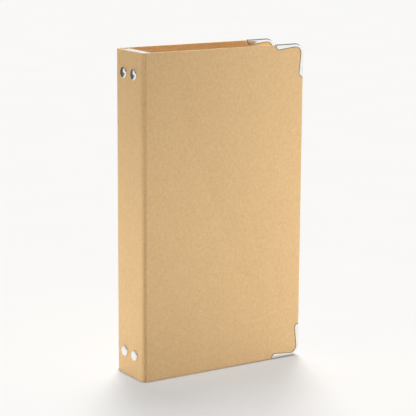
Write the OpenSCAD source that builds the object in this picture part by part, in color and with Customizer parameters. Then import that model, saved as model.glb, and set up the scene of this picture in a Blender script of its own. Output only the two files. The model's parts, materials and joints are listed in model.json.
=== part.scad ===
// Kraft-board scrapbook album with riveted end brackets, page rods and metal corners.
// The album stands closed on its bottom edges, with the spine at -X and the front cover
// facing -Y. The origin is the middle of its footprint, rivet heads included, on the surface
// it stands on.

/* [Album] */
// Height, from the bottom corner protectors to the top ones
album_h = 220; // [180:1:260]
// Width, from the spine's outer face to the fore-edge corner protectors
album_w = 126; // [110:1:150]
// Thickness over both cover boards
album_d = 36.5; // [34:0.5:44]

/* [Board] */
// Thickness of the kraft board
board_t = 2; // [1.6:0.1:2.4]

/* [Metal corners] */
// Length of each leg along the board's edges
corner_leg = 22.5; // [16:0.5:26]
// Thickness of the sheet metal
corner_t = 0.4; // [0.3:0.05:0.6]
// How far the flange reaches over the board's face, next to the corner
flange_w = 2.0; // [1.2:0.1:2.6]
// How far the flange reaches over the board's face at the ends of the legs
flange_end_w = 3.4; // [2.6:0.1:4]
// Outer radius of the corner
corner_r = 7; // [5:0.5:8]

/* [End brackets] */
// Thickness of the bracket's sheet metal
bracket_t = 1; // [0.8:0.1:1.2]
// How far the lip stands in from the spine
lip_depth = 6.5; // [6:0.5:8]
// Height of the bracket's plate on the spine
plate_h = 24; // [20:1:30]

/* [Rivets] */
// Diameter of the rivet's head
rivet_head_d = 7.2; // [6:0.1:8]
// Diameter of the rivet's shank
rivet_shank_d = 3.2; // [3:0.1:4]
// Distance between the two rivets of a pair
rivet_gap = 13; // [10:0.5:16]
// Distance of the top pair from the spine's top edge
rivet_top_inset = 14.8; // [12:0.1:18]
// Distance of the bottom pair from the spine's bottom edge
rivet_bottom_inset = 16.1; // [12:0.1:18]

/* [Pages] */
// Distance between neighbouring page rods
rod_pitch = 5.2; // [5.2:0.05:5.5]
// Diameter of a page rod
rod_d = 1.4; // [1.2:0.1:1.4]
// Height of the pages
page_h = 208; // [160:1:208]
// Width of the pages, from the fold to the fore-edge
page_w = 114; // [90:1:115]
// Thickness of the folded card sheets
leaf_t = 0.4; // [0.3:0.05:0.4]

/* [Hidden] */
$fn = 96;
page_count = 6;

rivet_head_t = 1.5;
spine_x = (rivet_head_t - album_w) / 2;    // the spine's outer face, behind the rivet heads
fore_x = spine_x + album_w;                // the outer face of the corner protectors
board_fore_x = fore_x - corner_t;          // the cover boards' fore-edge
front_y = -album_d / 2;                    // the front cover's outer face
cover_gap = corner_t;                      // the cover boards stand on their metal corners
board_h = album_h - 2 * cover_gap;
inner_x = spine_x + board_t;               // the spine's inner face
inner_y = album_d / 2 - board_t;           // a cover's inner face

flange_sink = corner_t / 2;                // crimped this deep into the board's faces
leg_end_r = 2.4;                           // radius at the end of each leg of the flange

bracket_w = 2 * inner_y - 1;
bracket_inset = 0.3;                       // the lips lie this far inside the spine's ends
rod_x = inner_x + lip_depth - 2.5;
rod_inset = bracket_inset + 0.1;
rod_hole_d = rod_d + 0.2;

page_z = bracket_inset + bracket_t + 0.4;  // the pages stand on the bottom bracket's lip
sheet_gap = 0.05;                          // between a page's outer and inner sheets
insert_fold_r = rod_d / 2 + 0.15;          // inside radius of the inner sheet's fold
page_fold_r = insert_fold_r + leaf_t + sheet_gap;
insert_margin = 2;                         // the inner sheet is this much smaller all round

rivet_hole_d = rivet_shank_d + 0.1;
rivet_tail_t = 0.7;
rivet_tail_d = 5.4;

kraft = [0.83, 0.68, 0.49];
nickel = [0.86, 0.87, 0.88];
steel = [0.62, 0.64, 0.66];
page_kraft = [0.76, 0.60, 0.41];
cream = [0.94, 0.91, 0.84];

// Y of a page rod, counted from the front cover
function rod_y(i) = (i - (page_count + 1) / 2) * rod_pitch;

// ---- Kraft board ------------------------------------------------------------------------

// The outline of a fore-edge corner: straight sides, and arcs at the two corners.
module rounded_fore_edge(x0, x1, z0, z1, r) {
    translate([x0, z0]) square([x1 - x0 - r, z1 - z0]);
    translate([x0, z0 + r]) square([x1 - x0, z1 - z0 - 2 * r]);
    for (z = [z0 + r, z1 - r]) translate([x1 - r, z]) circle(r);
}

// The front cover's board, with shallow seats where the metal corners are crimped in
module cover_board() {
    difference() {
        translate([0, front_y + board_t, 0]) rotate([90, 0, 0])
            linear_extrude(board_t)
                rounded_fore_edge(inner_x, board_fore_x, cover_gap, album_h - cover_gap,
                    corner_r - corner_t);
        for (top = [false, true]) corner_at(top) flanges();
    }
}

module spine_board() {
    color(kraft) difference() {
        translate([spine_x, -inner_y, 0]) cube([board_t, 2 * inner_y, album_h]);
        for (z = rivet_rows(), y = rivet_columns())
            translate([spine_x - 1, y, z]) rotate([0, 90, 0])
                cylinder(d = rivet_hole_d, h = board_t + 2);
    }
}

// The scored strip between the spine and the front cover, a bevel across the corner
module fold_strip() {
    translate([0, 0, cover_gap]) linear_extrude(board_h)
        polygon([
            [spine_x, -inner_y], [inner_x, front_y], [inner_x, -inner_y]
        ]);
}

module to_back() { mirror([0, 1, 0]) children(); }

module front_board() { color(kraft) cover_board(); }
module back_board() { color(kraft) to_back() cover_board(); }
module front_fold() { color(kraft) fold_strip(); }
module back_fold() { color(kraft) to_back() fold_strip(); }

// ---- Metal corners ----------------------------------------------------------------------

// Places a bottom corner on the front cover, or its mirror image at the top.
module corner_at(top) {
    translate([0, 0, top ? album_h : 0]) mirror([0, 0, top ? 1 : 0]) children();
}

// The corner seen from the front: a quarter of a rounded square, as wide as the legs.
module corner_area(inset) {
    r = corner_r - inset;
    intersection() {
        rounded_fore_edge(fore_x - 3 * corner_leg, fore_x - inset, inset, 3 * corner_leg, r);
        translate([fore_x - corner_leg, 0]) square(corner_leg);
    }
}

// The flange's outline: a narrow band round the corner, and two legs that widen from it.
module flange_outline() {
    band = corner_leg - leg_end_r;
    intersection() {
        translate([fore_x - band, 0]) square(band);
        difference() {
            corner_area(0);
            corner_area(flange_w);
        }
    }
    widening_leg();
    mirrored_on_diagonal() widening_leg();
}

// Swaps the two legs of the corner.
module mirrored_on_diagonal() {
    translate([fore_x, 0]) mirror([1, 1]) translate([-fore_x, 0]) children();
}

// The leg along the board's bottom edge: it widens from the corner to a rounded end.
module widening_leg() {
    end_x = fore_x - corner_leg;
    end_arc = [for (a = [180:-15:90])
        [end_x + leg_end_r * (1 + cos(a)), flange_end_w - leg_end_r * (1 - sin(a))]];
    polygon(concat([[end_x, 0]], end_arc, [[fore_x - corner_r, flange_w], [fore_x - corner_r, 0]]));
}

// Both flanges, lying in the board's faces, raised by half the metal's thickness
module flanges() {
    for (y = [front_y - flange_sink, front_y + board_t - flange_sink])
        translate([0, y + corner_t, 0]) rotate([90, 0, 0])
            linear_extrude(corner_t) flange_outline();
}

// One bottom corner protector of the front cover
module corner_protector() {
    flanges();
    translate([0, front_y + board_t + flange_sink, 0]) rotate([90, 0, 0])
        linear_extrude(board_t + 2 * flange_sink) difference() {
            corner_area(0);
            corner_area(corner_t);
        }
}

module corner_front_bottom() { color(nickel) corner_at(false) corner_protector(); }
module corner_front_top() { color(nickel) corner_at(true) corner_protector(); }
module corner_back_bottom() { color(nickel) to_back() corner_at(false) corner_protector(); }
module corner_back_top() { color(nickel) to_back() corner_at(true) corner_protector(); }

// ---- Brackets and rivets ----------------------------------------------------------------

function rivet_rows() = [rivet_bottom_inset, album_h - rivet_top_inset];
function rivet_columns() = [-rivet_gap / 2, rivet_gap / 2];

// An L-shaped bracket at the bottom of the spine; the lip has a hole for each rod.
module end_bracket(rivet_z) {
    difference() {
        union() {
            translate([inner_x, -bracket_w / 2, bracket_inset])
                cube([bracket_t, bracket_w, plate_h]);
            translate([inner_x, -bracket_w / 2, bracket_inset])
                cube([lip_depth, bracket_w, bracket_t]);
        }
        for (i = [1:page_count]) translate([rod_x, rod_y(i), -1])
            cylinder(d = rod_hole_d, h = 4);
        for (y = rivet_columns()) translate([inner_x - 1, y, rivet_z]) rotate([0, 90, 0])
            cylinder(d = rivet_hole_d, h = bracket_t + 2);
    }
}

module bracket_bottom() { color(nickel) end_bracket(rivet_bottom_inset); }
module bracket_top() {
    color(nickel) translate([0, 0, album_h]) mirror([0, 0, 1]) end_bracket(rivet_top_inset);
}

// A rivet with a low domed head outside and a rolled tail inside the bracket
module rivet(y, z) {
    head_r = rivet_head_d / 2;
    dome_r = (head_r * head_r + rivet_head_t * rivet_head_t) / (2 * rivet_head_t);
    grip = board_t + bracket_t;
    translate([spine_x, y, z]) rotate([0, 90, 0]) {
        intersection() {
            translate([0, 0, dome_r - rivet_head_t]) sphere(dome_r);
            translate([0, 0, -rivet_head_t]) cylinder(r = head_r, h = rivet_head_t);
        }
        cylinder(d = rivet_shank_d, h = grip);
        translate([0, 0, grip]) cylinder(d1 = rivet_tail_d, d2 = rivet_tail_d - 1, h = rivet_tail_t);
    }
}

module rivet_top_front() { color(nickel) rivet(rivet_columns()[0], rivet_rows()[1]); }
module rivet_top_back() { color(nickel) rivet(rivet_columns()[1], rivet_rows()[1]); }
module rivet_bottom_front() { color(nickel) rivet(rivet_columns()[0], rivet_rows()[0]); }
module rivet_bottom_back() { color(nickel) rivet(rivet_columns()[1], rivet_rows()[0]); }

// ---- Rods and pages ---------------------------------------------------------------------

// A straight steel rod, held by its two ends in the lips of the brackets
module rod(i) {
    color(steel) translate([rod_x, rod_y(i), rod_inset])
        cylinder(d = rod_d, h = album_h - 2 * rod_inset);
}

// A sheet folded round a rod, seen from above: half a ring, and a leaf on either side.
module folded_outline(fold_r, width) {
    outer_r = fold_r + leaf_t;
    difference() {
        union() {
            circle(outer_r);
            translate([0, -outer_r]) square([width, 2 * outer_r]);
        }
        circle(fold_r);
        translate([0, -fold_r]) square([width + 1, 2 * fold_r]);
    }
}

module folded_sheet(i, fold_r, width, z, height) {
    translate([rod_x, rod_y(i), z]) linear_extrude(height) folded_outline(fold_r, width);
}

// The outer sheet of a page
module page(i) { color(page_kraft) folded_sheet(i, page_fold_r, page_w, page_z, page_h); }

// The inner sheet, nested in the page's fold
module insert(i) {
    color(cream) folded_sheet(i, insert_fold_r, page_w - insert_margin,
        page_z + insert_margin, page_h - 2 * insert_margin);
}

spine_board();
front_board();
back_board();
front_fold();
back_fold();
corner_front_top();
corner_front_bottom();
corner_back_top();
corner_back_bottom();
bracket_top();
bracket_bottom();
rivet_top_front();
rivet_top_back();
rivet_bottom_front();
rivet_bottom_back();
for (i = [1:page_count]) {
    rod(i);
    page(i);
    insert(i);
}
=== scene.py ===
"""Looks of the kraft scrapbook album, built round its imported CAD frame. Units are metres."""
import json
import math
import random

import bmesh
import bpy
from mathutils import Matrix, Vector

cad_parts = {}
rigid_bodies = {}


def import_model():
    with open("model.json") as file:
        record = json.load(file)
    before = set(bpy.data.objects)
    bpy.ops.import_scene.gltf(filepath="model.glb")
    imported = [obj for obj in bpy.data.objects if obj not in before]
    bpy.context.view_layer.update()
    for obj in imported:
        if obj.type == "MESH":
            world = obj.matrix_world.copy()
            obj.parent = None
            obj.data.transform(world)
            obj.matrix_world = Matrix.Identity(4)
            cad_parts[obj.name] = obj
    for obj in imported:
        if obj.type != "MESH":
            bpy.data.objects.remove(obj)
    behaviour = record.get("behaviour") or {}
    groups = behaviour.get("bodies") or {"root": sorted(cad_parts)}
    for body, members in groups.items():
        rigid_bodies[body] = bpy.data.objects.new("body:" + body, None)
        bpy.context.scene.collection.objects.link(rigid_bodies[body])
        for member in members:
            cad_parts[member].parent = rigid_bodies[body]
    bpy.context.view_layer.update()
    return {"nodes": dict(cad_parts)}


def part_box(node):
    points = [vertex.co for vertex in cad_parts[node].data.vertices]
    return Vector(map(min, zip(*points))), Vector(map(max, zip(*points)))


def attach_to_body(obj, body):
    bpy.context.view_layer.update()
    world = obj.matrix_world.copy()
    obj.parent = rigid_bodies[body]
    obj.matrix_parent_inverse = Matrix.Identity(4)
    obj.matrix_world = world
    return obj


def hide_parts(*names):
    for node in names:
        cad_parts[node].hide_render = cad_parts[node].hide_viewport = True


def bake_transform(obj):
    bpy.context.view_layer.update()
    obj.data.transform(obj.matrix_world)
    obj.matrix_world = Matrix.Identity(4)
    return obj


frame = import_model()

MM = 0.001

# Places that the CAD model gives.
spine_lo, spine_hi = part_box("spine_board")
corner_lo, corner_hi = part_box("corner_front_bottom")
rod_lo, rod_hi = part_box("rod_1")
ALBUM_H = spine_hi.z
SPINE_X = spine_lo.x  # the spine's outer face
INNER_X = spine_hi.x  # the spine's inner face, where the cover boards start
INNER_Y = spine_hi.y  # the spine board's long edges, at the folds
FRONT_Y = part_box("front_board")[0].y  # the front cover's outer face
BOARD_T = INNER_X - SPINE_X
FORE_X = corner_hi.x  # the outer face of the corners at the fore-edge
CORNER_LEG = corner_hi.x - corner_lo.x
FLANGE_PROUD = FRONT_Y - corner_lo.y
RIVET_HEAD_T = SPINE_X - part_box("rivet_top_front")[0].x
ROD_X = (rod_lo.x + rod_hi.x) / 2
ROD_R = (rod_hi.x - rod_lo.x) / 2

# The sheet metal of the corners, as in the CAD model.
CORNER_T = 0.4 * MM
CORNER_R = 7 * MM
FLANGE_W = 2.0 * MM
FLANGE_END_W = 3.4 * MM
LEG_END_R = 2.4 * MM

# The corners' bends and trimmed edges, and their seats crushed into the board, whose walls are
# painted dark as shade in the gap.
BEND_R = 0.75 * MM
BEND_SEGMENTS = 4
METAL_EDGE_R = 0.1 * MM
SEAT_GAP = 0.5 * MM
SEAT_DEPTH = 0.7 * MM

# The press that bent the board at each fold: a long shallow slope, then a narrow score.
PRESS_DEPTH = 0.35 * MM
PRESS_REACH = 8 * MM
PRESS_STEPS = [MM * d for d in (0, 0.2, 0.4, 0.6, 0.8, 1.1, 1.6, 2.4, 3.4, 4.6, 6.2)]
PRESS_STEPS.append(PRESS_REACH)
SCORE_DEPTH = 0.4 * MM
SCORE_W = 0.38 * MM
EDGE_WEAR = 0.35 * MM
FOLD_BULGE = 0.15 * MM
FOLD_STEPS = 32  # across the fold's outer side
HOLLOW_STEPS = 12  # across its hollow inner side
FOLD_MARGIN = 0.1 * MM  # the fold's faces further in than this are its inside

# A board's material slots.
OUTSIDE, CUT_EDGE, INSIDE = range(3)

# The rivets: a domed head outside, and a tube rolled over the bracket inside.
RIVET_R = 3.6 * MM
RIVET_SEGMENTS = 64
DOME_STEPS = 14
DOME_W = 0.965  # share of the head's radius; the rim takes the rest
DOME_BASE = 0.34  # share of the head's height that lies under the dome's curve
DOME_REACH = 0.93  # how much of the curve the dome uses, so that it meets the rim at a slope
DOME_POWER = 2.2
RIM = ((0.992, 0.299), (1, 0.156), (0.985, 0))  # shares of the head's radius and height
SHANK_R = 1.6 * MM
SHANK_START = 0.05 * MM  # the shank begins this far behind the head's rim
BRACKET_T = 1 * MM
# The rolled tail as (radius, distance past the bracket).
TAIL_MM = ((2.7, 0.02), (2.75, 0.3), (2.45, 0.62), (1.9, 0.68), (1.35, 0.45), (1.15, 0))
TAIL_BORE_R = 1.15 * MM
TAIL_BORE_DEPTH = 1.8 * MM

# The folded pages, and the gaps from a rod to its inner sheet and from that to the outer one.
PAGES = 6
LEAF_T = 0.4 * MM
ROD_GAP = 0.15 * MM
NEST_GAP = 0.05 * MM
PAGE_CORNER_R = 4 * MM
LEAF_STEPS = 24
LEAF_LEVELS = 9
TURN_STEP = 15  # degrees between the points round a fold or a page's corner

# What differs from page to page: how far its leaves bow, how far its outer sheet's leaves end
# from the middle, and the room between them and the inner sheet's leaves.
BOW_MM = 0.12
FAR_OUTER_MM = (1.05, 1.35)
FAR_NEST_MM = (0.1, 0.3)

TOUCHING = MM / 100  # places closer together than this count as the same
ARC_STEPS = 8  # in a quarter turn of an outline

# The tabletop: its even glow, and the weaker glow this close to where the album meets it, which is
# a painted contact shadow.
FLOOR_W = 24.0
FLOOR_GLOW = 0.535
PAINTED_CONTACT_SHADOW_GLOW = 0.12
PAINTED_CONTACT_SHADOW_REACH = 2.5 * MM

# The camera, in millimetres, metres and degrees.
SENSOR_W = 36
LENS = 142.8
CAMERA_PLACE = (-0.5893, -0.9276, 0.3451)
CAMERA_TURN = (90 - 12.12, -0.33, -32.32)


# ---- Mesh helpers -------------------------------------------------------------------------

def add_object(name, data):
    """A new object in the scene for a mesh, a light or a camera."""
    obj = bpy.data.objects.new(name, data)
    bpy.context.scene.collection.objects.link(obj)
    return obj


def shade(obj, angle=35):
    """Shades a mesh smooth, with edges sharper than angle degrees left sharp."""
    obj.data.polygons.foreach_set("use_smooth", [True] * len(obj.data.polygons))
    obj.data.set_sharp_from_angle(angle=math.radians(angle))


def new_object(name, bm, materials, smooth_angle=35):
    """Turns a bmesh into an object, and deletes the bmesh."""
    bmesh.ops.recalc_face_normals(bm, faces=bm.faces)
    mesh = bpy.data.meshes.new(name)
    bm.to_mesh(mesh)
    bm.free()
    for material in materials:
        mesh.materials.append(material)
    obj = add_object(name, mesh)
    shade(obj, smooth_angle)
    return obj


def prism(outline, low, high, upright=False):
    """A solid over (x, z) points from y = low to y = high, or upright over (x, y) points."""
    bm = bmesh.new()
    rings = []
    for level in (low, high):
        places = [(a, b, level) if upright else (a, level, b) for a, b in outline]
        rings.append([bm.verts.new(place) for place in places])
    for ring in rings:
        bm.faces.new(ring)
    for k in range(len(outline)):
        n = (k + 1) % len(outline)
        bm.faces.new((rings[0][k], rings[0][n], rings[1][n], rings[1][k]))
    bmesh.ops.recalc_face_normals(bm, faces=bm.faces)
    return bm


def rectangle(width, height):
    """A flat rectangle about the origin that faces up."""
    bm = bmesh.new()
    signs = ((-1, -1), (1, -1), (1, 1), (-1, 1))
    bm.faces.new([bm.verts.new((a * width / 2, b * height / 2, 0)) for a, b in signs])
    return bm


def apply_modifiers(obj):
    """Replaces an object's mesh with its evaluated one."""
    bpy.context.view_layer.update()
    evaluated = obj.evaluated_get(bpy.context.evaluated_depsgraph_get())
    mesh = bpy.data.meshes.new_from_object(evaluated)
    obj.modifiers.clear()
    obj.data = mesh


def bevel(obj, width, angle=40):
    """Rounds the edges that are sharper than angle degrees."""
    modifier = obj.modifiers.new("bevel", "BEVEL")
    modifier.width = width
    modifier.segments = 2
    modifier.limit_method = "ANGLE"
    modifier.angle_limit = math.radians(angle)
    apply_modifiers(obj)


def cut(obj, tool):
    """Takes the tool's solid out of the object, and deletes the tool."""
    modifier = obj.modifiers.new("cut", "BOOLEAN")
    modifier.operation = "DIFFERENCE"
    modifier.solver = "EXACT"
    modifier.material_mode = "TRANSFER"
    modifier.object = tool
    apply_modifiers(obj)
    bpy.data.objects.remove(tool)


def weld(obj, distance=MM / 1000):
    """Joins vertices that lie on each other, which bevels and cuts can leave behind."""
    bm = bmesh.new()
    bm.from_mesh(obj.data)
    bmesh.ops.remove_doubles(bm, verts=bm.verts, dist=distance)
    bm.to_mesh(obj.data)
    bm.free()


def flipped(obj, name):
    """A mirror image of an object's mesh across y = 0, as a new object."""
    mesh = obj.data.copy()
    mesh.transform(Matrix.Diagonal((1, -1, 1, 1)))
    mesh.flip_normals()
    return add_object(name, mesh)


def arc(centre, radius, start, end):
    """Points on an arc about centre, from start to end in degrees."""
    points = []
    for k in range(ARC_STEPS + 1):
        t = math.radians(start + (end - start) * k / ARC_STEPS)
        points.append((centre[0] + radius * math.cos(t), centre[1] + radius * math.sin(t)))
    return points


def attach(piece, body, node):
    """Makes a piece ride on a body and stand for a CAD node, which it hides."""
    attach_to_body(piece, body)
    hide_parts(node)


# ---- Materials ----------------------------------------------------------------------------

def feed(tree, socket, value):
    """Links a socket to another one, or sets it to a plain value."""
    if isinstance(value, bpy.types.NodeSocket):
        tree.links.new(value, socket)
    else:
        socket.default_value = value


def add_ramp(tree, value, stops):
    """A colour ramp; each stop is (place, colour or grey)."""
    node = tree.nodes.new("ShaderNodeValToRGB")
    elements = node.color_ramp.elements
    while len(elements) < len(stops):
        elements.new(0.5)
    for element, (place, colour) in zip(elements, stops):
        element.position = place
        element.color = colour if isinstance(colour, tuple) else (colour, colour, colour, 1)
    feed(tree, node.inputs["Fac"], value)
    return node.outputs["Color"]


def add_mix(tree, first, second, factor, blend="MIX"):
    """Mixes two colours; each input is a socket or a plain value."""
    node = tree.nodes.new("ShaderNodeMix")
    node.data_type = "RGBA"
    node.blend_type = blend
    feed(tree, node.inputs["Factor"], factor)
    feed(tree, node.inputs[6], first)
    feed(tree, node.inputs[7], second)
    return node.outputs[2]


class Nodes:
    """A short way to write a material's nodes. Texture scales are grains per metre."""

    def __init__(self, name):
        self.material = bpy.data.materials.new(name)
        self.material.use_nodes = True
        self.tree = self.material.node_tree
        self.shader = self.tree.nodes["Principled BSDF"]
        self.coordinates = self.tree.nodes.new("ShaderNodeTexCoord").outputs["Object"]

    def set(self, **values):
        for name, value in values.items():
            self.shader.inputs[name.replace("_", " ")].default_value = value

    def link(self, source, target):
        self.tree.links.new(source, target)

    def scaled(self, scale, turn=(0, 0, 0)):
        """Object coordinates multiplied by scale, after a turn in degrees."""
        node = self.tree.nodes.new("ShaderNodeMapping")
        node.inputs["Rotation"].default_value = [math.radians(a) for a in turn]
        node.inputs["Scale"].default_value = scale
        self.link(self.coordinates, node.inputs["Vector"])
        return node.outputs["Vector"]

    def noise(self, vector, detail=2, roughness=0.5):
        node = self.tree.nodes.new("ShaderNodeTexNoise")
        node.inputs["Scale"].default_value = 1.0
        node.inputs["Detail"].default_value = detail
        node.inputs["Roughness"].default_value = roughness
        self.link(vector, node.inputs["Vector"])
        return node.outputs["Fac"]

    def ramp(self, value, *stops):
        return add_ramp(self.tree, value, stops)

    def mix(self, first, second, factor, blend="MIX"):
        return add_mix(self.tree, first, second, factor, blend)

    def combined(self, operation, first, second):
        """The sum, product or quotient of two numbers, each a socket or a plain value."""
        node = self.tree.nodes.new("ShaderNodeMath")
        node.operation = operation
        feed(self.tree, node.inputs[0], first)
        feed(self.tree, node.inputs[1], second)
        return node.outputs["Value"]

    def colour(self, socket):
        self.link(socket, self.shader.inputs["Base Color"])

    def roughness(self, socket):
        self.link(socket, self.shader.inputs["Roughness"])

    def bump(self, height, strength, distance):
        node = self.tree.nodes.new("ShaderNodeBump")
        node.inputs["Strength"].default_value = strength
        node.inputs["Distance"].default_value = distance
        self.link(height, node.inputs["Height"])
        self.link(node.outputs["Normal"], self.shader.inputs["Normal"])


def kraft(name, light, dark, fleck):
    """Uncoated kraft board: fine mottling, crossed fibres, and a few faint darker fibres."""
    nodes = Nodes(name)
    nodes.set(Specular_IOR_Level=0.25)
    cloud = nodes.noise(nodes.scaled((90, 90, 60)), 3, 0.5)
    grain = nodes.noise(nodes.scaled((700, 700, 480)), 3, 0.6)
    warmth = nodes.noise(nodes.scaled((430, 430, 650)), 2, 0.5)
    upright = nodes.noise(nodes.scaled((2600, 2600, 330)), 2, 0.5)
    level = nodes.noise(nodes.scaled((420, 420, 2400)), 2, 0.5)
    slanted = nodes.noise(nodes.scaled((900, 900, 2600), (0, 38, 24)), 2, 0.5)
    fibres = nodes.combined("ADD", upright, nodes.combined("ADD", level, slanted))
    cloud_share = nodes.combined("MULTIPLY", cloud, 0.15)
    shares = nodes.combined("ADD", cloud_share, nodes.combined("MULTIPLY", grain, 0.85))
    tone = nodes.mix(dark, light, nodes.ramp(shares, (0.22, 0.0), (0.78, 1.0)))
    tint = nodes.ramp(warmth, (0.35, (1.0, 0.97, 0.96, 1)), (0.65, (0.99, 1.0, 0.97, 1)))
    tone = nodes.mix(tone, tint, 1.0, "MULTIPLY")
    mean_fibre = nodes.combined("DIVIDE", fibres, 3.0)
    streak = nodes.ramp(mean_fibre, (0.40, 0.92), (0.5, 1.0), (0.6, 1.05))
    tone = nodes.mix(tone, streak, 1.0, "MULTIPLY")
    specks = nodes.noise(nodes.scaled((700, 700, 1500), (0, 50, 10)), 1, 0.4)
    tone = nodes.mix(tone, fleck, nodes.ramp(specks, (0.72, 0.0), (0.82, 0.4)))
    nodes.colour(tone)
    nodes.roughness(nodes.ramp(grain, (0.3, 0.74), (0.7, 0.88)))
    nodes.bump(nodes.combined("ADD", fibres, grain), 0.3, 0.06 * MM)
    return nodes.material


def cut_board(name, light, dark):
    """The cut edge of board: pale, torn fibres in layers that run along the sheet."""
    nodes = Nodes(name)
    nodes.set(Specular_IOR_Level=0.15)
    layers = nodes.noise(nodes.scaled((2600, 2600, 300)), 3, 0.6)
    torn = nodes.noise(nodes.scaled((1500, 1500, 1500)), 3, 0.65)
    mixed = nodes.combined("MULTIPLY", nodes.combined("ADD", layers, torn), 0.5)
    nodes.colour(nodes.ramp(mixed, (0.32, dark), (0.66, light)))
    nodes.roughness(nodes.ramp(torn, (0.3, 0.85), (0.7, 0.97)))
    nodes.bump(mixed, 0.5, 0.1 * MM)
    return nodes.material


def plated(name, colour, worn, rough_low, rough_high, brushed=(1, 1, 1)):
    """Bright plated metal: soft smudges and hairline scratches in its polish."""
    nodes = Nodes(name)
    nodes.set(Metallic=1.0)
    smudge = nodes.noise(nodes.scaled((260, 260, 260)), 3, 0.55)
    hairs = nodes.noise(nodes.scaled([900 * b for b in brushed], (0, 12, 31)), 2, 0.5)
    nodes.colour(nodes.mix(colour, worn, nodes.ramp(smudge, (0.45, 0.0), (0.8, 1.0))))
    blend = nodes.combined("MULTIPLY", nodes.combined("ADD", smudge, hairs), 0.5)
    nodes.roughness(nodes.ramp(blend, (0.35, rough_low), (0.65, rough_high)))
    nodes.bump(hairs, 0.04, 0.02 * MM)
    return nodes.material


def floor_material():
    """A pale, matt tabletop with an even glow, which fades where something stands on it as a
    painted contact shadow.
    """
    nodes = Nodes("pale_floor")
    nodes.set(Roughness=0.6, Specular_IOR_Level=0.0)
    mottle = nodes.noise(nodes.scaled((9, 9, 9)), 2, 0.5)
    stops = (0.3, (0.413, 0.410, 0.403, 1)), (0.7, (0.423, 0.420, 0.413, 1))
    nodes.colour(nodes.ramp(mottle, *stops))
    nodes.set(Emission_Color=(1.0, 0.992, 0.98, 1))
    # Ambient occlusion dims the glow near the album: a painted contact shadow.
    painted_contact_shadow = nodes.tree.nodes.new("ShaderNodeAmbientOcclusion")
    painted_contact_shadow.inputs["Distance"].default_value = PAINTED_CONTACT_SHADOW_REACH
    glow = nodes.ramp(painted_contact_shadow.outputs["AO"], (0.4, PAINTED_CONTACT_SHADOW_GLOW), (0.95, FLOOR_GLOW))
    nodes.link(glow, nodes.shader.inputs["Emission Strength"])
    return nodes.material


KRAFT = kraft("kraft_board", (0.71, 0.493, 0.258, 1), (0.60, 0.395, 0.198, 1),
              (0.36, 0.21, 0.10, 1))
# Darker kraft for the fold strips: painted shade in the crease of each fold.
KRAFT_FOLD_PAINTED_SHADE = kraft("kraft_fold_painted_shade", (0.68, 0.435, 0.225, 1), (0.57, 0.35, 0.17, 1),
                   (0.34, 0.2, 0.09, 1))
# The boards' inside faces: kraft painted darker and more orange, as painted light bounced between
# the covers.
KRAFT_INSIDE_PAINTED_BOUNCE = kraft("kraft_inside_painted_bounce", (0.83, 0.50, 0.215, 1), (0.70, 0.40, 0.165, 1),
                     (0.38, 0.2, 0.09, 1))
# Cut edges: paler board, lightened further as a painted highlight where the top edges catch the
# light.
KRAFT_CUT_PALE_AND_PAINTED_HIGHLIGHT = cut_board("kraft_cut_edge_pale_and_painted_highlight", (0.86, 0.68, 0.48, 1), (0.68, 0.51, 0.33, 1))
# The walls of the corners' seats: kraft painted dark, as painted shade in the gap round each
# flange.
KRAFT_SEAT_PAINTED_SHADE = cut_board("kraft_seat_painted_shade", (0.60, 0.44, 0.26, 1), (0.44, 0.30, 0.16, 1))
PAGE_CARD = kraft("page_kraft_card", (0.50, 0.33, 0.17, 1), (0.44, 0.285, 0.14, 1),
                  (0.25, 0.15, 0.07, 1))
PAGE_CUT = cut_board("page_card_edge", (0.60, 0.44, 0.26, 1), (0.42, 0.29, 0.15, 1))
CREAM_CARD = kraft("cream_card", (0.83, 0.79, 0.68, 1), (0.79, 0.745, 0.63, 1),
                   (0.66, 0.6, 0.48, 1))
CREAM_CUT = cut_board("cream_card_edge", (0.86, 0.82, 0.72, 1), (0.72, 0.67, 0.56, 1))
CORNER_METAL = plated("corner_nickel", (0.93, 0.925, 0.91, 1), (0.86, 0.855, 0.84, 1),
                      0.12, 0.22)
RIVET_METAL = plated("rivet_nickel", (0.93, 0.925, 0.91, 1), (0.85, 0.845, 0.83, 1),
                     0.16, 0.24)
BRACKET_METAL = plated("bracket_plate", (0.94, 0.935, 0.92, 1), (0.88, 0.875, 0.86, 1),
                       0.12, 0.22, (1, 8, 1))
ROD_METAL = plated("rod_wire", (0.66, 0.66, 0.67, 1), (0.52, 0.52, 0.53, 1),
                   0.2, 0.36, (4, 4, 0.3))


# ---- Kraft board --------------------------------------------------------------------------

def flange_outline(grow=0):
    """Outline of a corner's flange as (distance from the fore-edge, distance from the end)."""
    end_w = FLANGE_END_W + grow
    width = FLANGE_W + grow
    leg = CORNER_LEG + grow
    end = arc((leg - LEG_END_R, end_w - LEG_END_R), LEG_END_R, 0, 90)
    inner = arc((CORNER_R, CORNER_R), CORNER_R - width, 270, 180)
    leg_inner = [(leg, -grow)] + end
    other_leg = [(b, a) for a, b in reversed(leg_inner)]
    outer = [(a - grow, b - grow) for a, b in arc((CORNER_R, CORNER_R), CORNER_R, 180, 270)]
    return leg_inner + inner + other_leg + outer


def at_corner(points, top):
    """Puts (distance from the fore-edge, distance from the end) points at a corner, as (x, z)."""
    return [(FORE_X - a, ALBUM_H - b if top else b) for a, b in points]


def score(distance):
    """Depth of a score at a distance from its bottom."""
    return SCORE_DEPTH * math.exp(-(distance / SCORE_W) ** 2)


def pressed(distance):
    """How far a board's outer face is pressed in at a distance from the fold."""
    near = max(0, 1 - distance / PRESS_REACH)
    return PRESS_DEPTH * near ** 2 + (score(distance) if near else 0)


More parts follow.
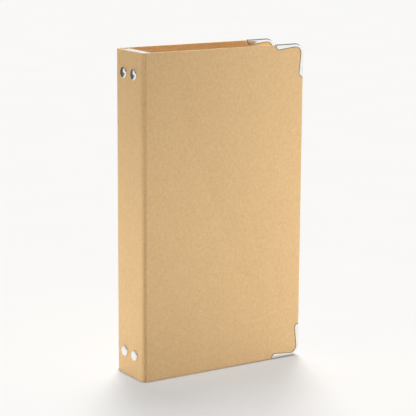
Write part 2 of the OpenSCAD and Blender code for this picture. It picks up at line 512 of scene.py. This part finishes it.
def front_cover_board():
    """The front cover's board: mitred and pressed at the fold, with seats for the corners.

    Its cut edges are flush with the spine's at the fold, and CORNER_T further in at the corners.
    """
    radius = CORNER_R - CORNER_T
    corner_x = FORE_X - CORNER_R
    outline = [(INNER_X, 0)]
    outline += arc((corner_x, CORNER_R), radius, -90, 0)
    outline += arc((corner_x, ALBUM_H - CORNER_R), radius, 0, 90)
    outline += [(INNER_X, ALBUM_H)]
    bm = prism(outline, FRONT_Y, FRONT_Y + BOARD_T)
    for face in bm.faces:
        if abs(face.normal.y) < 0.5:
            face.material_index = CUT_EDGE
        else:
            face.material_index = OUTSIDE if face.normal.y < 0 else INSIDE
    for step in PRESS_STEPS[1:]:
        geometry = bm.verts[:] + bm.edges[:] + bm.faces[:]
        place = (INNER_X + step, 0, 0)
        bmesh.ops.bisect_plane(bm, geom=geometry, plane_co=place, plane_no=(1, 0, 0))
    for vert in bm.verts:
        if vert.co.y > FRONT_Y + BOARD_T / 2:
            vert.co.x += BOARD_T * max(0, 1 - (vert.co.x - INNER_X) / PRESS_REACH)
    obj = new_object("front_cover_board", bm, [KRAFT, KRAFT_CUT_PALE_AND_PAINTED_HIGHLIGHT, KRAFT_INSIDE_PAINTED_BOUNCE])
    bevel(obj, EDGE_WEAR)
    for vert in obj.data.vertices:
        depth = (vert.co.y - FRONT_Y) / BOARD_T
        vert.co.y += pressed(max(0, vert.co.x - INNER_X)) * max(0, 1 - depth)
    # Seats round the corners' flanges, walled with dark kraft as painted shade in the gap.
    for top in (False, True):
        outline = at_corner(flange_outline(SEAT_GAP), top)
        for face_y in (FRONT_Y, FRONT_Y + BOARD_T):
            seat = prism(outline, face_y - SEAT_DEPTH, face_y + SEAT_DEPTH)
            cut(obj, new_object("seat", seat, [KRAFT_SEAT_PAINTED_SHADE]))
    weld(obj)
    shade(obj)
    return obj


def spine_panel():
    """The spine's board, mitred and pressed at both folds."""
    outer = [(SPINE_X + pressed(step), step - INNER_Y) for step in PRESS_STEPS]
    outer += [(x, -y) for x, y in reversed(outer)]
    outline = outer + [(INNER_X, INNER_Y - BOARD_T), (INNER_X, BOARD_T - INNER_Y)]
    bm = prism(outline, 0, ALBUM_H, upright=True)
    for face in bm.faces:
        if abs(face.normal.z) > 0.5:
            face.material_index = CUT_EDGE
        else:
            face.material_index = INSIDE if face.normal.x > 0.9 else OUTSIDE
    obj = new_object("spine_panel", bm, [KRAFT, KRAFT_CUT_PALE_AND_PAINTED_HIGHLIGHT, KRAFT_INSIDE_PAINTED_BOUNCE])
    bevel(obj, EDGE_WEAR, angle=75)
    shade(obj)
    return obj


def fold_section():
    """Cross-section of the front fold as (x, y): a low ridge between two scores, round inside."""
    start = Vector((SPINE_X + pressed(0), -INNER_Y))
    end = Vector((INNER_X, FRONT_Y + pressed(0)))
    outward = Vector((-1, -1)).normalized()
    length = (end - start).length
    outer = []
    for k in range(FOLD_STEPS + 1):
        t = k / FOLD_STEPS
        height = SCORE_DEPTH - score(t * length) - score((1 - t) * length)
        bulge = FOLD_BULGE * math.sin(math.pi * t)
        outer.append(start.lerp(end, t) + outward * (height + bulge + score(length)))
    inner_end = Vector((INNER_X + BOARD_T, -INNER_Y))
    inner_start = Vector((INNER_X, BOARD_T - INNER_Y))
    corner = Vector((INNER_X, -INNER_Y))
    inner = []
    for k in range(HOLLOW_STEPS + 1):
        t = k / HOLLOW_STEPS
        inner.append((1 - t) ** 2 * inner_end + 2 * t * (1 - t) * corner + t ** 2 * inner_start)
    return outer + inner


def front_fold_strip():
    """The strip between the spine and the front cover, where the board bends as the cover opens;
    this mesh keeps its closed shape.
    """
    bm = prism(fold_section(), 0, ALBUM_H, upright=True)
    for face in bm.faces:
        middle = face.calc_center_median()
        if abs(face.normal.z) > 0.5:
            face.material_index = CUT_EDGE
        elif middle.x > INNER_X + FOLD_MARGIN or middle.y > FOLD_MARGIN - INNER_Y:
            face.material_index = INSIDE
    materials = [KRAFT_FOLD_PAINTED_SHADE, KRAFT_CUT_PALE_AND_PAINTED_HIGHLIGHT, KRAFT_INSIDE_PAINTED_BOUNCE]
    return new_object("front_fold_strip", bm, materials, smooth_angle=50)


def build_boards():
    attach(spine_panel(), "spine", "spine_board")
    covers = {"front": front_cover_board()}
    covers["back"] = flipped(covers["front"], "back_cover_board")
    folds = {"front": front_fold_strip()}
    folds["back"] = flipped(folds["front"], "back_fold_strip")
    for side, sign in (("front", 1), ("back", -1)):
        attach(covers[side], f"{side}_cover", f"{side}_board")
        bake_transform(folds[side])
        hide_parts(f"{side}_fold")


# ---- Metal corners ------------------------------------------------------------------------

def on_outer_side(vert, top):
    """Whether a vertex lies on the side of a corner that faces away from the board."""
    a = FORE_X - vert.co.x
    b = ALBUM_H - vert.co.z if top else vert.co.z
    if a < CORNER_R and b < CORNER_R:
        return math.hypot(a - CORNER_R, b - CORNER_R) > CORNER_R - TOUCHING
    return min(a, b) < TOUCHING


def corner_protector(name, top):
    """A corner of bent sheet metal: two flanges and the wall that joins them round the edge."""
    low = FRONT_Y - FLANGE_PROUD
    high = FRONT_Y + BOARD_T + FLANGE_PROUD
    bm = prism(at_corner(flange_outline(), top), low, high)
    bends = [edge for edge in bm.edges
             if abs(edge.verts[0].co.y - edge.verts[1].co.y) < TOUCHING
             and all(on_outer_side(vert, top) for vert in edge.verts)]
    bmesh.ops.bevel(bm, geom=bends, offset=BEND_R, segments=BEND_SEGMENTS, profile=0.5,
                    affect="EDGES")
    obj = new_object(name, bm, [CORNER_METAL])
    beyond = CORNER_LEG + 5 * MM
    board = [(beyond, CORNER_T), (beyond, beyond), (CORNER_T, beyond)]
    board += arc((CORNER_R, CORNER_R), CORNER_R - CORNER_T, 180, 270)
    slot = prism(at_corner(board, top), low + CORNER_T, high - CORNER_T)
    cut(obj, new_object("slot", slot, [CORNER_METAL]))
    bevel(obj, METAL_EDGE_R, angle=60)
    shade(obj, angle=45)
    return obj


def build_corners():
    for top in (False, True):
        place = "top" if top else "bottom"
        front = corner_protector(f"front_{place}_corner", top)
        back = flipped(front, f"back_{place}_corner")
        for side, obj in (("front", front), ("back", back)):
            attach(obj, f"{side}_cover", f"corner_{side}_{place}")


# ---- Rivets -------------------------------------------------------------------------------

def rivet_profile():
    """(radius, distance out of the spine) from the head's middle to the rolled tail inside."""
    points = [(0, RIVET_HEAD_T)]
    for k in range(1, DOME_STEPS + 1):
        share = k / DOME_STEPS
        curve = math.sqrt(1 - (DOME_REACH * share) ** DOME_POWER)
        height = RIVET_HEAD_T * (DOME_BASE + (1 - DOME_BASE) * curve)
        points.append((RIVET_R * DOME_W * share, height))
    points += [(RIVET_R * a, RIVET_HEAD_T * b) for a, b in RIM]
    grip = -(BOARD_T + BRACKET_T)
    points += [(SHANK_R, -SHANK_START), (SHANK_R, grip)]
    points += [(a * MM, grip - b * MM) for a, b in TAIL_MM]
    bore_end = grip + TAIL_BORE_DEPTH
    points += [(TAIL_BORE_R, bore_end), (0, bore_end)]
    return points


def rivet(name, y, z):
    """The rivet's profile, turned about a line along x through y and z."""
    bm = bmesh.new()
    rings = []
    for radius, out in rivet_profile():
        x = SPINE_X - out
        if radius == 0:
            rings.append([bm.verts.new((x, y, z))])
            continue
        ring = []
        for k in range(RIVET_SEGMENTS):
            turn = 2 * math.pi * k / RIVET_SEGMENTS
            ring.append(bm.verts.new((x, y + radius * math.cos(turn), z + radius * math.sin(turn))))
        rings.append(ring)
    for first, second in zip(rings, rings[1:]):
        for k in range(RIVET_SEGMENTS):
            n = (k + 1) % RIVET_SEGMENTS
            corners = [first[k % len(first)], first[n % len(first)],
                       second[n % len(second)], second[k % len(second)]]
            bm.faces.new(list(dict.fromkeys(corners)))
    return new_object(name, bm, [RIVET_METAL], smooth_angle=60)


def build_rivets():
    for row in ("top", "bottom"):
        for side in ("front", "back"):
            node = f"rivet_{row}_{side}"
            low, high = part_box(node)
            middle = (low + high) / 2
            obj = rivet(f"{row}_{side}_rivet", middle.y, middle.z)
            attach(obj, "spine", node)


# ---- Brackets and rods keep their CAD shapes ----------------------------------------------

def finish_metal_nodes():
    finishes = {"bracket_": BRACKET_METAL, "rod_": ROD_METAL}
    for name, node in frame["nodes"].items():
        for start, material in finishes.items():
            if name.startswith(start):
                node.data.materials.clear()
                node.data.materials.append(material)


# ---- Pages --------------------------------------------------------------------------------

def leaf_path(width, fold_r, far_offsets, bow):
    """A folded sheet's centre line seen from above, as (x, y) from the rod, leaf to leaf."""
    corner_start = width - PAGE_CORNER_R
    places = [corner_start * k / LEAF_STEPS for k in range(LEAF_STEPS)]
    places += [corner_start + PAGE_CORNER_R * math.sin(math.radians(a))
               for a in range(0, 91, TURN_STEP)]

    def leaf(side, far):
        points = []
        for x in places:
            share = x / width
            settle = share * share * (3 - 2 * share)
            offset = fold_r + (far - fold_r) * settle
            wave = bow * math.sin(math.pi * share) * side
            points.append((x, side * offset + wave))
        return points

    front = list(reversed(leaf(-1, far_offsets[0])))
    turn = [(-fold_r * math.sin(math.radians(a)), -fold_r * math.cos(math.radians(a)))
            for a in range(TURN_STEP, 180, TURN_STEP)]
    return front + turn + leaf(1, far_offsets[1])


def folded_sheet(name, node, fold_r, far_offsets, bow, materials):
    """A sheet of card folded round its rod, with rounded outer corners."""
    low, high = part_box(node)
    rod_y = (low.y + high.y) / 2
    width = high.x - ROD_X
    path = leaf_path(width, fold_r, far_offsets, bow)
    bm = bmesh.new()
    sides = {-1: [], 1: []}
    for k, (x, y) in enumerate(path):
        before = Vector(path[max(0, k - 1)])
        after = Vector(path[min(len(path) - 1, k + 1)])
        along = (after - before).normalized()
        normal = Vector((-along.y, along.x))
        depth = max(0.0, PAGE_CORNER_R - (width - x))
        cutback = PAGE_CORNER_R - math.sqrt(max(0.0, PAGE_CORNER_R ** 2 - depth ** 2))
        for side, columns in sides.items():
            px = ROD_X + x + normal.x * side * LEAF_T / 2
            py = rod_y + y + normal.y * side * LEAF_T / 2
            column = []
            for n in range(LEAF_LEVELS + 1):
                z = low.z + cutback + (high.z - low.z - 2 * cutback) * n / LEAF_LEVELS
                column.append(bm.verts.new((px, py, z)))
            columns.append(column)
    for columns in sides.values():
        for first, second in zip(columns, columns[1:]):
            for n in range(LEAF_LEVELS):
                bm.faces.new((first[n], second[n], second[n + 1], first[n + 1]))
    edge_faces = []
    for k in range(len(path) - 1):
        for n in (0, LEAF_LEVELS):
            ring = (sides[-1][k][n], sides[-1][k + 1][n], sides[1][k + 1][n], sides[1][k][n])
            edge_faces.append(bm.faces.new(ring))
    for k in (0, len(path) - 1):
        for n in range(LEAF_LEVELS):
            ring = (sides[-1][k][n], sides[-1][k][n + 1], sides[1][k][n + 1], sides[1][k][n])
            edge_faces.append(bm.faces.new(ring))
    for face in edge_faces:
        face.material_index = 1
    return new_object(name, bm, materials, smooth_angle=40)


def build_pages():
    """Two nested sheets on each rod; their leaves close up a little towards the fore-edge."""
    chance = random.Random(7)
    inner_r = ROD_R + ROD_GAP + LEAF_T / 2
    outer_r = inner_r + LEAF_T + NEST_GAP
    for k in range(1, PAGES + 1):
        page = f"page_{k}"
        insert = f"insert_{k}"
        bow = chance.uniform(-BOW_MM, BOW_MM) * MM
        far_outer = [chance.uniform(*FAR_OUTER_MM) * MM for _ in range(2)]
        far_inner = [far - LEAF_T - chance.uniform(*FAR_NEST_MM) * MM for far in far_outer]
        outer = folded_sheet(f"{page}_outer_sheet", page, outer_r, far_outer, bow,
                             [PAGE_CARD, PAGE_CUT])
        inner = folded_sheet(f"{page}_inner_sheet", insert, inner_r, far_inner, bow,
                             [CREAM_CARD, CREAM_CUT])
        attach(outer, page, page)
        attach(inner, page, insert)


# ---- Floor, lights and camera -------------------------------------------------------------

def build_floor():
    floor = new_object("floor", rectangle(FLOOR_W, FLOOR_W), [floor_material()])
    return floor


def aim(obj, place, target):
    """Puts a light or a card at a place, facing a target."""
    obj.location = place
    obj.rotation_euler = (Vector(target) - Vector(place)).to_track_quat("-Z", "Y").to_euler()


def softbox(name, place, target, size, power, spared):
    """A soft rectangular light, in watts, that doesn't light the objects it spares."""
    light = bpy.data.lights.new(name, "AREA")
    light.shape = "RECTANGLE"
    light.size, light.size_y = size
    light.energy = power
    obj = add_object(name, light)
    aim(obj, place, target)
    receivers = bpy.data.collections.new(f"{name}_receivers")
    for other in spared:
        receivers.objects.link(other)
    obj.light_linking.receiver_collection = receivers
    for member in receivers.collection_objects:
        member.light_linking.link_state = "EXCLUDE"
    obj.visible_glossy = False


def back_light(name, azimuth, elevation, strength, spread):
    """A broad light from behind the album, which throws its soft shadow towards the camera."""
    light = bpy.data.lights.new(name, "SUN")
    light.energy = strength
    light.angle = math.radians(spread)
    obj = add_object(name, light)
    a = math.radians(azimuth)
    e = math.radians(elevation)
    place = (math.sin(a) * math.cos(e), math.cos(a) * math.cos(e), math.sin(e))
    aim(obj, place, (0, 0, 0))
    obj.visible_glossy = False


def flag(name, place, target, size, grey):
    """A card beside the set, which shows only as a dark shape in polished metal."""
    nodes = Nodes(name)
    nodes.set(Specular_IOR_Level=0.0)
    mottle = nodes.noise(nodes.scaled((20, 20, 20)))
    nodes.colour(nodes.ramp(mottle, (0.3, grey * 0.9), (0.7, grey * 1.1)))
    obj = new_object(name, rectangle(*size), [nodes.material])
    aim(obj, place, target)
    obj.visible_camera = False
    obj.visible_diffuse = False
    obj.visible_shadow = False


def build_world():
    """Surroundings with hardly any light of their own, but bright and dark bands to reflect."""
    world = bpy.data.worlds.new("studio")
    world.use_nodes = True
    tree = world.node_tree
    direction = tree.nodes.new("ShaderNodeTexCoord").outputs["Generated"]
    height = tree.nodes.new("ShaderNodeSeparateXYZ")
    tree.links.new(direction, height.inputs["Vector"])
    bands = ((0.26, 1.0), (0.42, 0.06), (0.72, 0.10), (1.0, 0.6))
    backdrop = add_ramp(tree, height.outputs["Z"], bands)
    ray = tree.nodes.new("ShaderNodeLightPath").outputs
    reflected = add_mix(tree, (0.02, 0.02, 0.02, 1), backdrop, ray["Is Glossy Ray"])
    seen = add_mix(tree, reflected, (0.955, 0.95, 0.935, 1), ray["Is Camera Ray"])
    tree.links.new(seen, tree.nodes["Background"].inputs["Color"])
    bpy.context.scene.world = world


def build_lights(floor):
    upper = (0, 0, 0.15)
    lower = (0, 0, 0.06)
    pieces = bpy.data.objects
    outside = [pieces[name] for name in ("front_cover_board", "spine_panel", "front_fold_strip")]
    back_cover = pieces["back_cover_board"]
    softbox("front_softbox", (-0.45, -0.70, 0.90), (0, 0, 0.10), (0.6, 0.6), 1.6, [floor])
    softbox("right_high_softbox", (0.70, -0.60, 0.60), upper, (0.5, 0.5), 1.95, [floor, back_cover])
    softbox("right_near_softbox", (0.28, -0.30, 0.07), lower, (0.25, 0.15), 1.1, [floor])
    softbox("left_low_softbox", (-0.30, 0.02, 0.01), (-0.06, 0, 0.02), (0.25, 0.08), 0.5, [floor])
    softbox("left_back_softbox", (-0.90, 0.50, 0.38), lower, (0.5, 0.5), 3.0, [floor])
    softbox("inside_softbox", (0.02, -0.35, 0.60), (0, 0, 0.2), (0.2, 0.2), 1.3, [floor] + outside)
    back_light("high_back_light", 32, 70, 1.6, 22)
    back_light("low_back_light", 32, 52, 1.95, 18)
    flag("low_flag", (-0.70, 0.85, 0.004), (-0.70, 0.85, 1.0), (1.6, 1.0), 0.08)
    flag("near_flag", (-0.145, 0.25, 0.27), (-0.145, 0, 0.27), (0.25, 0.28), 0.10)


def build_camera():
    camera = bpy.data.cameras.new("camera")
    camera.lens = LENS
    camera.sensor_width = SENSOR_W
    obj = add_object("camera", camera)
    obj.location = CAMERA_PLACE
    obj.rotation_euler = [math.radians(a) for a in CAMERA_TURN]
    bpy.context.scene.camera = obj


build_boards()
build_corners()
build_rivets()
finish_metal_nodes()
build_pages()
tabletop = build_floor()
build_world()
build_lights(tabletop)
build_camera()
bpy.context.scene.view_settings.view_transform = "Standard"
